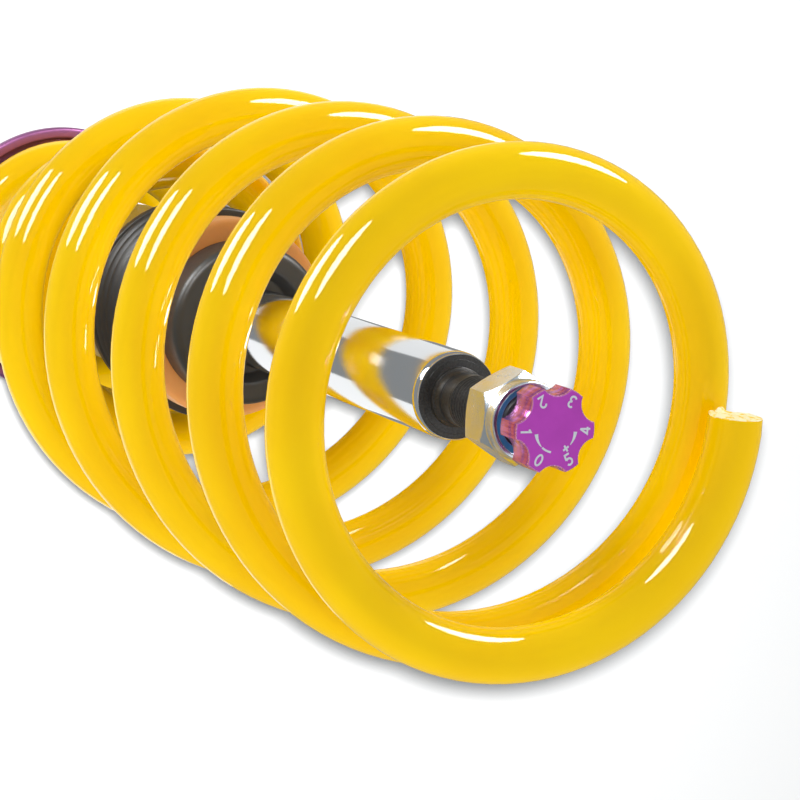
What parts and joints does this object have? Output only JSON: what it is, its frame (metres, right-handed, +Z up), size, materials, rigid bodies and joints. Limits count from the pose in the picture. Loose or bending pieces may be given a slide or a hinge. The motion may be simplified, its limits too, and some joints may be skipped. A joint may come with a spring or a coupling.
{
  "type": "coilover",
  "caption": "Height-adjustable suspension strut: damper with chromed rod, coil spring on a threaded perch, rebound knob on top.",
  "frame": {"origin": "centre of the rod's shoulder, where the top mount's bearing seats", "axes": "+Z up along the rod, out of the strut; +X from the strut's axis towards the knuckle bolts; +Y along the knuckle bolts"},
  "size_m": [0.1345, 0.1212, 0.4799],
  "materials": {
    "tube_steel": "bright zinc plate, machined thread",
    "black_steel": "satin black powder coat",
    "bright_steel": "ground steel",
    "sintered_steel": "sintered, fine grain",
    "bearing_plastic": "filled bearing plastic",
    "black_rubber": "matt",
    "boot_rubber": "satin moulded rubber",
    "orange_urethane": "cast urethane",
    "black_urethane": "moulded urethane foam, satin skin",
    "rod_chrome": "hard chrome, black phosphate above the shoulder",
    "zinc_steel": "bright zinc plate with a slight yellow tint",
    "blue_nylon": "dark blue nylon",
    "brass": "turned",
    "knob_anodised": "purple anodised, fine matt",
    "perch_anodised": "dark purple anodised",
    "screw_steel": "black oxide",
    "spring_yellow": "gloss yellow powder coat"
  },
  "bodies": {
    "housing": {"strut_tube": "tube_steel", "base_cap": "black_steel", "knuckle_bracket": "black_steel", "hose_bracket": "black_steel", "pressure_tube": "bright_steel", "base_valve_body": "sintered_steel", "base_valve_discs": "bright_steel", "base_valve_rivet": "bright_steel", "rod_guide": "sintered_steel", "guide_bush": "bearing_plastic", "guide_o_ring": "black_rubber", "rod_seal": "black_rubber", "closing_nut": "black_steel", "wiper_ring": "black_rubber", "dust_boot": "boot_rubber", "boot_ring": "orange_urethane", "bump_stop": "black_urethane"},
    "rod": {"piston_rod": "rod_chrome", "rebound_bumper": "black_rubber", "rebound_stop": "bright_steel", "piston": "sintered_steel", "piston_band": "bearing_plastic", "compression_discs": "bright_steel", "rebound_discs": "bright_steel", "piston_nut": "bright_steel", "locknut": "zinc_steel", "nylon_insert": "blue_nylon", "detent_sleeve": "brass"},
    "knob": {"adjuster_knob": "knob_anodised", "knob_screw": "screw_steel", "adjuster_shaft": "bright_steel", "detent_balls": "bright_steel"},
    "needle": {"needle": "brass"},
    "perch": {"spring": "spring_yellow", "spring_pad": "black_rubber", "spring_perch": "perch_anodised"},
    "collar": {"adjuster_collar": "perch_anodised", "collar_screw": "screw_steel", "lock_ring": "perch_anodised"}
  },
  "joints": [
    {"name": "rod_stroke", "type": "slide", "parent": "housing", "child": "rod", "axis": [0, 0, 1], "range_m": [-0.105, 0], "stiffness_N_per_m": 300, "springref_m": 0.4},
    {"name": "knob_turn", "type": "hinge", "parent": "rod", "child": "knob", "pos_m": [0, 0, 0.042], "axis": [0, 0, 1], "range_deg": [0, 300]},
    {"name": "needle_lift", "type": "slide", "parent": "rod", "child": "needle", "axis": [0, 0, 1], "range_m": [0, 0.000833]},
    {"name": "perch_travel", "type": "slide", "parent": "housing", "child": "perch", "axis": [0, 0, 1], "range_m": [-0.04, 0.015]},
    {"name": "collar_turn", "type": "hinge", "parent": "perch", "child": "collar", "pos_m": [0, 0, -0.286], "axis": [0, 0, 1], "range_deg": [-5761, 2161]}
  ],
  "couplings": [
    {"joint": "knob_turn", "follows": "needle_lift", "rad_per_m": 6283.2},
    {"joint": "collar_turn", "follows": "perch_travel", "rad_per_m": 2513.3}
  ]
}
